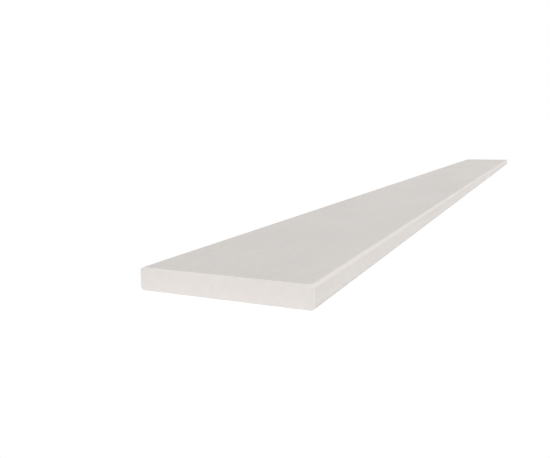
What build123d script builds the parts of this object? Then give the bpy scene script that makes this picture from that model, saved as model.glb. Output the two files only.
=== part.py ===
from build123d import *
import os

os.makedirs("parts", exist_ok=True)

# Window sill board: one solid length of flat board with a smooth off-white coat.
# All four long arrises are rounded, and both ends are cut square.
#
# Frame, in millimetres: the origin is under the middle of the board, on the face it lies on.
# +X runs along the board, +Y from the front edge in the room to the back edge at the window,
# and +Z up through its thickness.

# Driving dimensions
LENGTH = 3000.0
WIDTH = 220.0
THICKNESS = 28.0
# Rounding along the four long arrises
ARRIS_RADIUS = 5.0
# Touch of sanding that breaks the sharp edges of the two sawn ends
END_EASE = 0.3

with BuildPart() as sill_board:
    # The section stands on the floor, and grows to both sides so the middle stays at the origin
    with BuildSketch(Plane.YZ) as section:
        with Locations((0, THICKNESS / 2)):
            RectangleRounded(WIDTH, THICKNESS, ARRIS_RADIUS)
    extrude(amount=LENGTH / 2, both=True)

    # Every edge that bounds an end face
    end_faces = sill_board.faces().filter_by(Axis.X)
    fillet(end_faces.edges(), radius=END_EASE)

sill_board.part.label = "sill_board"
export_step(sill_board.part, "parts/sill_board.step")
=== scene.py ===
import math

import bpy
from mathutils import Matrix, Vector


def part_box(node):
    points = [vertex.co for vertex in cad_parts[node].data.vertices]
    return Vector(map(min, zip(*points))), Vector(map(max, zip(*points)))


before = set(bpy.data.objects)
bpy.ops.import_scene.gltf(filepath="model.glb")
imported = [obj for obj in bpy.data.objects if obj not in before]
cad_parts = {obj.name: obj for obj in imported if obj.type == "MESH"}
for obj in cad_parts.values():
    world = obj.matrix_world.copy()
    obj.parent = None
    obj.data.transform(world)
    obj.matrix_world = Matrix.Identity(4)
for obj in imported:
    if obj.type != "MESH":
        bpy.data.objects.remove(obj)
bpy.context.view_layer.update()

# A window sill board lies on a pale floor, seen from just beyond its near end.
# Lengths are in metres, in the board's own frame: +X along it, +Y to the back edge, +Z up.

BOARD = "sill_board"

# The photograph's view. The camera's place is measured from the board's near lower front corner
PHOTO_WIDTH_PX = 550
FOCAL_PX = 577.27
SENSOR_MM = 36.0
CAMERA_FROM_CORNER = Vector((-0.5332, -0.2076, 0.1782))
CAMERA_YAW = math.radians(25.241)
CAMERA_PITCH = math.radians(-9.164)
CAMERA_ROLL = math.radians(-0.777)
NEAREST_SEEN = 0.01

# Light, where a level of 1 shows a colour as it is written
SKY_LEVEL = 0.05
# Each points towards its light, and is as long as that light's level
KEY_LIGHT = Vector((-0.603, -0.526, 0.400))
TOP_LIGHT = Vector((0, 0, 0.328))
FILL_LIGHT = Vector((0.260, 0.300, 0.020))
# How wide each light looks from the board
KEY_SOFTNESS = math.radians(40)
TOP_SOFTNESS = math.radians(60)
FILL_SOFTNESS = math.radians(30)

# The background's colour, and the level at which it shows as plain white
WHITE = (1, 1, 1, 1)
BACKDROP_LEVEL = 1.0

# The floor sends back this share of the light, and shows to the camera as white with a faint shadow
FLOOR_SIZE = 60.0
FLOOR_BOUNCE = 0.78
FLOOR_SHADOW_SHARE = 0.30
FLOOR_WHITE_LIFT = 0.77

# Coat: its colour, and how far the tone strays from it in the darkest and lightest spots
COAT_COLOUR = (0.767, 0.731, 0.703)
TONE_RANGE = 0.12
SHINE = 0.15
ROUGHNESS = 0.70
ROUGHNESS_RANGE = 0.15
# Layers of tone: the length of their spots along the board and across it, and each layer's share
TONE_LAYERS = (
    (0.300, 0.120, 0.36),
    (0.200, 0.006, 0.13),
    (0.012, 0.010, 0.32),
    (0.005, 0.004, 0.19),
)
# Finer octaves within a layer's spots, and how strong each is beside the one before
TONE_DETAIL = 2.0
DETAIL_FALLOFF = 0.5
# Relief: the fine dimples of a sprayed coat, and the faint lines of sanding under it
DIMPLE_SIZE = 0.0022
DIMPLE_DEPTH = 0.00008
LINE_LENGTH = 0.080
LINE_WIDTH = 0.0012
LINE_DEPTH = 0.00003
RELIEF_DETAIL = 0.0


def set_input(tree, socket, value):
    """Gives an input a value, or links another node's output to it."""
    if isinstance(value, bpy.types.NodeSocket):
        tree.links.new(value, socket)
    else:
        socket.default_value = value


def add_node(tree, kind, **inputs):
    """A new node, with its inputs set by name, where an underscore stands for a space."""
    node = tree.nodes.new(kind)
    for name, value in inputs.items():
        set_input(tree, node.inputs[name.replace("_", " ")], value)
    return node


def add_math(tree, operation, *inputs):
    """The result of an operation on numbers and other nodes' outputs."""
    node = tree.nodes.new("ShaderNodeMath")
    node.operation = operation
    for socket, value in zip(node.inputs, inputs):
        set_input(tree, socket, value)
    return node.outputs[0]


def mix_by_ray(tree, for_light, for_sight):
    """One shader for the light that falls on the board, and one for what the camera and gloss show."""
    path = tree.nodes.new("ShaderNodeLightPath").outputs
    in_view = add_math(tree, "MAXIMUM", path["Is Camera Ray"], path["Is Glossy Ray"])
    in_view = add_math(tree, "MAXIMUM", in_view, path["Is Transmission Ray"])
    mix = tree.nodes.new("ShaderNodeMixShader")
    for socket, source in zip(mix.inputs, (in_view, for_light.outputs[0], for_sight.outputs[0])):
        tree.links.new(source, socket)
    return mix.outputs[0]


def make_world():
    """A faint even sky that shows as white."""
    world = bpy.data.worlds.new("studio")
    world.use_nodes = True
    tree = world.node_tree
    tree.nodes.clear()
    sky = add_node(tree, "ShaderNodeBackground", Color=WHITE, Strength=SKY_LEVEL)
    backdrop = add_node(tree, "ShaderNodeBackground", Color=WHITE, Strength=BACKDROP_LEVEL)
    add_node(tree, "ShaderNodeOutputWorld", Surface=mix_by_ray(tree, sky, backdrop))
    bpy.context.scene.world = world


def make_light(name, towards, softness, glints=True):
    """A distant soft light, which shows in the board's gloss only if it has glints."""
    lamp = bpy.data.lights.new(name, "SUN")
    # A sun of strength pi shows a colour that faces it at level 1
    lamp.energy = towards.length * math.pi
    lamp.angle = softness
    light = bpy.data.objects.new(name, lamp)
    light.rotation_euler = towards.to_track_quat("Z", "Y").to_euler()
    light.visible_glossy = glints
    bpy.context.scene.collection.objects.link(light)


def make_floor_material():
    """Pale in the light that it sends back, and to the camera white, apart from the board's shadow."""
    material = bpy.data.materials.new("pale_floor")
    material.use_nodes = True
    # Its glow is only for show, so it isn't treated as a lamp
    material.cycles.emission_sampling = "NONE"
    tree = material.node_tree
    tree.nodes.clear()
    bounce = add_node(tree, "ShaderNodeBsdfDiffuse", Color=(FLOOR_BOUNCE,) * 3 + (1,))
    shadowed = add_node(tree, "ShaderNodeBsdfDiffuse", Color=(FLOOR_SHADOW_SHARE,) * 3 + (1,))
    lift = add_node(tree, "ShaderNodeEmission", Color=WHITE, Strength=FLOOR_WHITE_LIFT)
    shown = tree.nodes.new("ShaderNodeAddShader")
    tree.links.new(shadowed.outputs[0], shown.inputs[0])
    tree.links.new(lift.outputs[0], shown.inputs[1])
    add_node(tree, "ShaderNodeOutputMaterial", Surface=mix_by_ray(tree, bounce, shown))
    return material


def make_floor():
    half = FLOOR_SIZE / 2
    corners = [(-half, -half, 0), (half, -half, 0), (half, half, 0), (-half, half, 0)]
    mesh = bpy.data.meshes.new("floor")
    mesh.from_pydata(corners, [], [(0, 1, 2, 3)])
    mesh.materials.append(make_floor_material())
    floor = bpy.data.objects.new("floor", mesh)
    bpy.context.scene.collection.objects.link(floor)


def make_camera():
    """The photograph's camera. With its three turns at zero it would look along +X, upright."""
    low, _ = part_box(BOARD)
    data = bpy.data.cameras.new("camera")
    data.sensor_fit = "HORIZONTAL"
    data.sensor_width = SENSOR_MM
    data.lens = SENSOR_MM * FOCAL_PX / PHOTO_WIDTH_PX
    data.clip_start = NEAREST_SEEN
    data.clip_end = 2 * FLOOR_SIZE
    camera = bpy.data.objects.new("camera", data)
    turn = (
        Matrix.Rotation(CAMERA_YAW - math.pi / 2, 4, "Z")
        @ Matrix.Rotation(CAMERA_PITCH + math.pi / 2, 4, "X")
        @ Matrix.Rotation(CAMERA_ROLL, 4, "Z")
    )
    camera.matrix_world = Matrix.Translation(low + CAMERA_FROM_CORNER) @ turn
    bpy.context.scene.collection.objects.link(camera)
    bpy.context.scene.camera = camera


def noise(tree, place, along, across, detail):
    """Noise from 0 to 1, in spots of these lengths along the board and across it."""
    spots_per_metre = (1 / along, 1 / across, 1 / across)
    stretch = add_node(tree, "ShaderNodeMapping", Vector=place, Scale=spots_per_metre)
    texture = add_node(
        tree, "ShaderNodeTexNoise",
        Vector=stretch.outputs[0], Scale=1.0, Detail=detail, Roughness=DETAIL_FALLOFF,
    )
    return texture.outputs[0]


def weighted_sum(tree, layers):
    """The sum of each output times its weight."""
    total = 0.0
    for output, weight in layers:
        total = add_math(tree, "MULTIPLY_ADD", output, weight, total)
    return total


def colour_socket(sockets, name):
    """The socket for a colour, where others of the same name hold numbers or vectors."""
    return next(socket for socket in sockets if socket.name == name and socket.type == "RGBA")


def tone_colour(tree, tone):
    """The coat's colour, from its darkest where the tone is 0 to its lightest where it is 1."""
    mix = tree.nodes.new("ShaderNodeMix")
    mix.data_type = "RGBA"
    tree.links.new(tone, mix.inputs[0])
    for name, shift in (("A", -TONE_RANGE), ("B", TONE_RANGE)):
        shade = [level * (1 + shift) for level in COAT_COLOUR]
        colour_socket(mix.inputs, name).default_value = shade + [1]
    return colour_socket(mix.outputs, "Result")


def make_coat():
    """Off-white coat: a faintly cloudy tone, fine streaks along the board, and a sprayed relief."""
    material = bpy.data.materials.new("coated_board")
    material.use_nodes = True
    tree = material.node_tree
    shader = tree.nodes["Principled BSDF"].inputs
    shader["Specular IOR Level"].default_value = SHINE
    place = tree.nodes.new("ShaderNodeTexCoord").outputs["Object"]

    layers = []
    for along, across, share in TONE_LAYERS:
        layers.append((noise(tree, place, along, across, TONE_DETAIL), share))
    tone = weighted_sum(tree, layers)
    tree.links.new(tone_colour(tree, tone), shader["Base Color"])

    # Lighter spots are a little smoother
    gloss = add_node(
        tree, "ShaderNodeMapRange",
        Value=tone, To_Min=ROUGHNESS + ROUGHNESS_RANGE, To_Max=ROUGHNESS - ROUGHNESS_RANGE,
    )
    tree.links.new(gloss.outputs[0], shader["Roughness"])

    dimples = noise(tree, place, DIMPLE_SIZE, DIMPLE_SIZE, RELIEF_DETAIL)
    lines = noise(tree, place, LINE_LENGTH, LINE_WIDTH, RELIEF_DETAIL)
    relief = weighted_sum(tree, [(dimples, DIMPLE_DEPTH), (lines, LINE_DEPTH)])
    bump = add_node(tree, "ShaderNodeBump", Strength=1.0, Distance=1.0, Height=relief)
    tree.links.new(bump.outputs[0], shader["Normal"])
    return material


make_world()
make_light("key", KEY_LIGHT, KEY_SOFTNESS)
make_light("top", TOP_LIGHT, TOP_SOFTNESS)
# It only evens the light, and its grazing shine would brighten the top towards the back
make_light("fill", FILL_LIGHT, FILL_SOFTNESS, glints=False)
make_floor()
make_camera()

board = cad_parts[BOARD]
board.material_slots[0].material = make_coat()

bpy.context.scene.view_settings.view_transform = "Standard"
